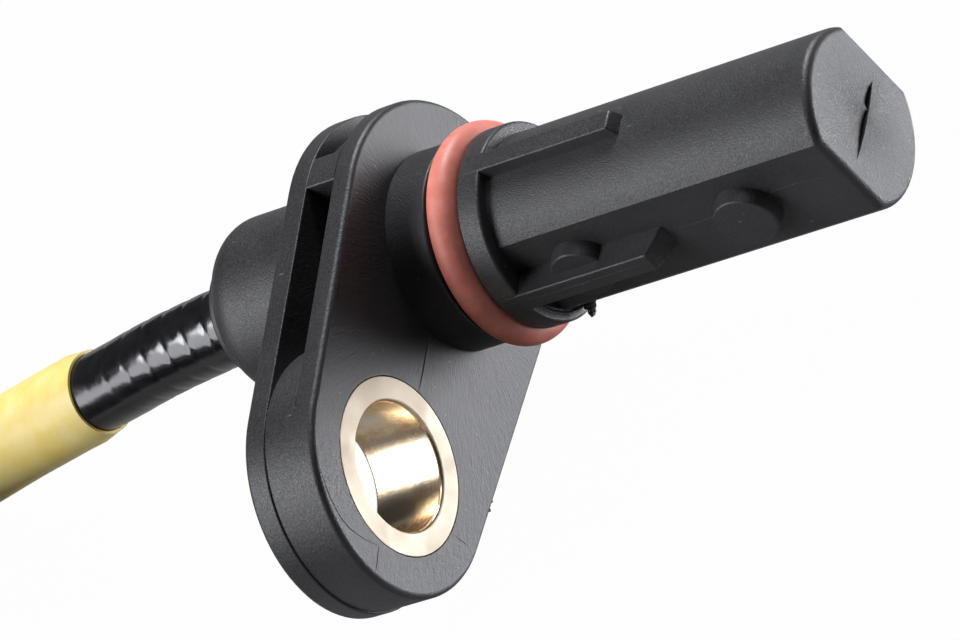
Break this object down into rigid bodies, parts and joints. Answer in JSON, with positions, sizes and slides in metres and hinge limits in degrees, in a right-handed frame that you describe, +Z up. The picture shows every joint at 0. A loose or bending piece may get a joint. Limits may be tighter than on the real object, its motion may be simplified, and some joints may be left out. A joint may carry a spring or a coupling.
{
  "type": "abs wheel speed sensor",
  "caption": "Round sensing nose with flats, a seal ring and a bolted flange, on a coiled cable that ends in a sealed connector.",
  "frame": {"origin": "on the surface that the sensor lies on, under the middle of its moulding's box", "axes": "+X along the sensing nose towards its tip, -Y towards the bolt ear, +Z up from the surface"},
  "size_m": [0.137, 0.0785, 0.0202],
  "materials": {
    "moulding": "fine moulded grain, satin",
    "bushing": "turned, bright bore",
    "seal": "matt",
    "carrier": "moulded",
    "chip": "moulded",
    "magnet": "plated",
    "capacitor": "plain",
    "terminal": "tin plated",
    "wire": "smooth",
    "jacket": "glossy",
    "sleeve": "satin",
    "tie": "satin",
    "plug": "satin",
    "lock": "satin",
    "wire_seal": "matt"
  },
  "bodies": {
    "root": {"housing": "moulding", "bolt_bushing": "bushing", "seal_ring": "seal", "element_carrier": "carrier", "sensor_chip": "chip", "bias_magnet": "magnet", "filter_capacitor": "capacitor", "terminal_strip_left": "terminal", "terminal_strip_right": "terminal", "core_wire_left": "wire", "core_wire_right": "wire", "cable": "jacket", "cable_sleeve": "sleeve", "cable_coil": "jacket", "cable_tail": "jacket", "cable_tie": "tie", "connector_cap": "plug", "connector_housing": "plug", "terminal_lock": "lock", "contact_pin_left": "terminal", "contact_pin_right": "terminal", "wire_seal_left": "wire_seal", "wire_seal_right": "wire_seal", "plug_wire_left": "wire", "plug_wire_right": "wire"}
  },
  "joints": []
}
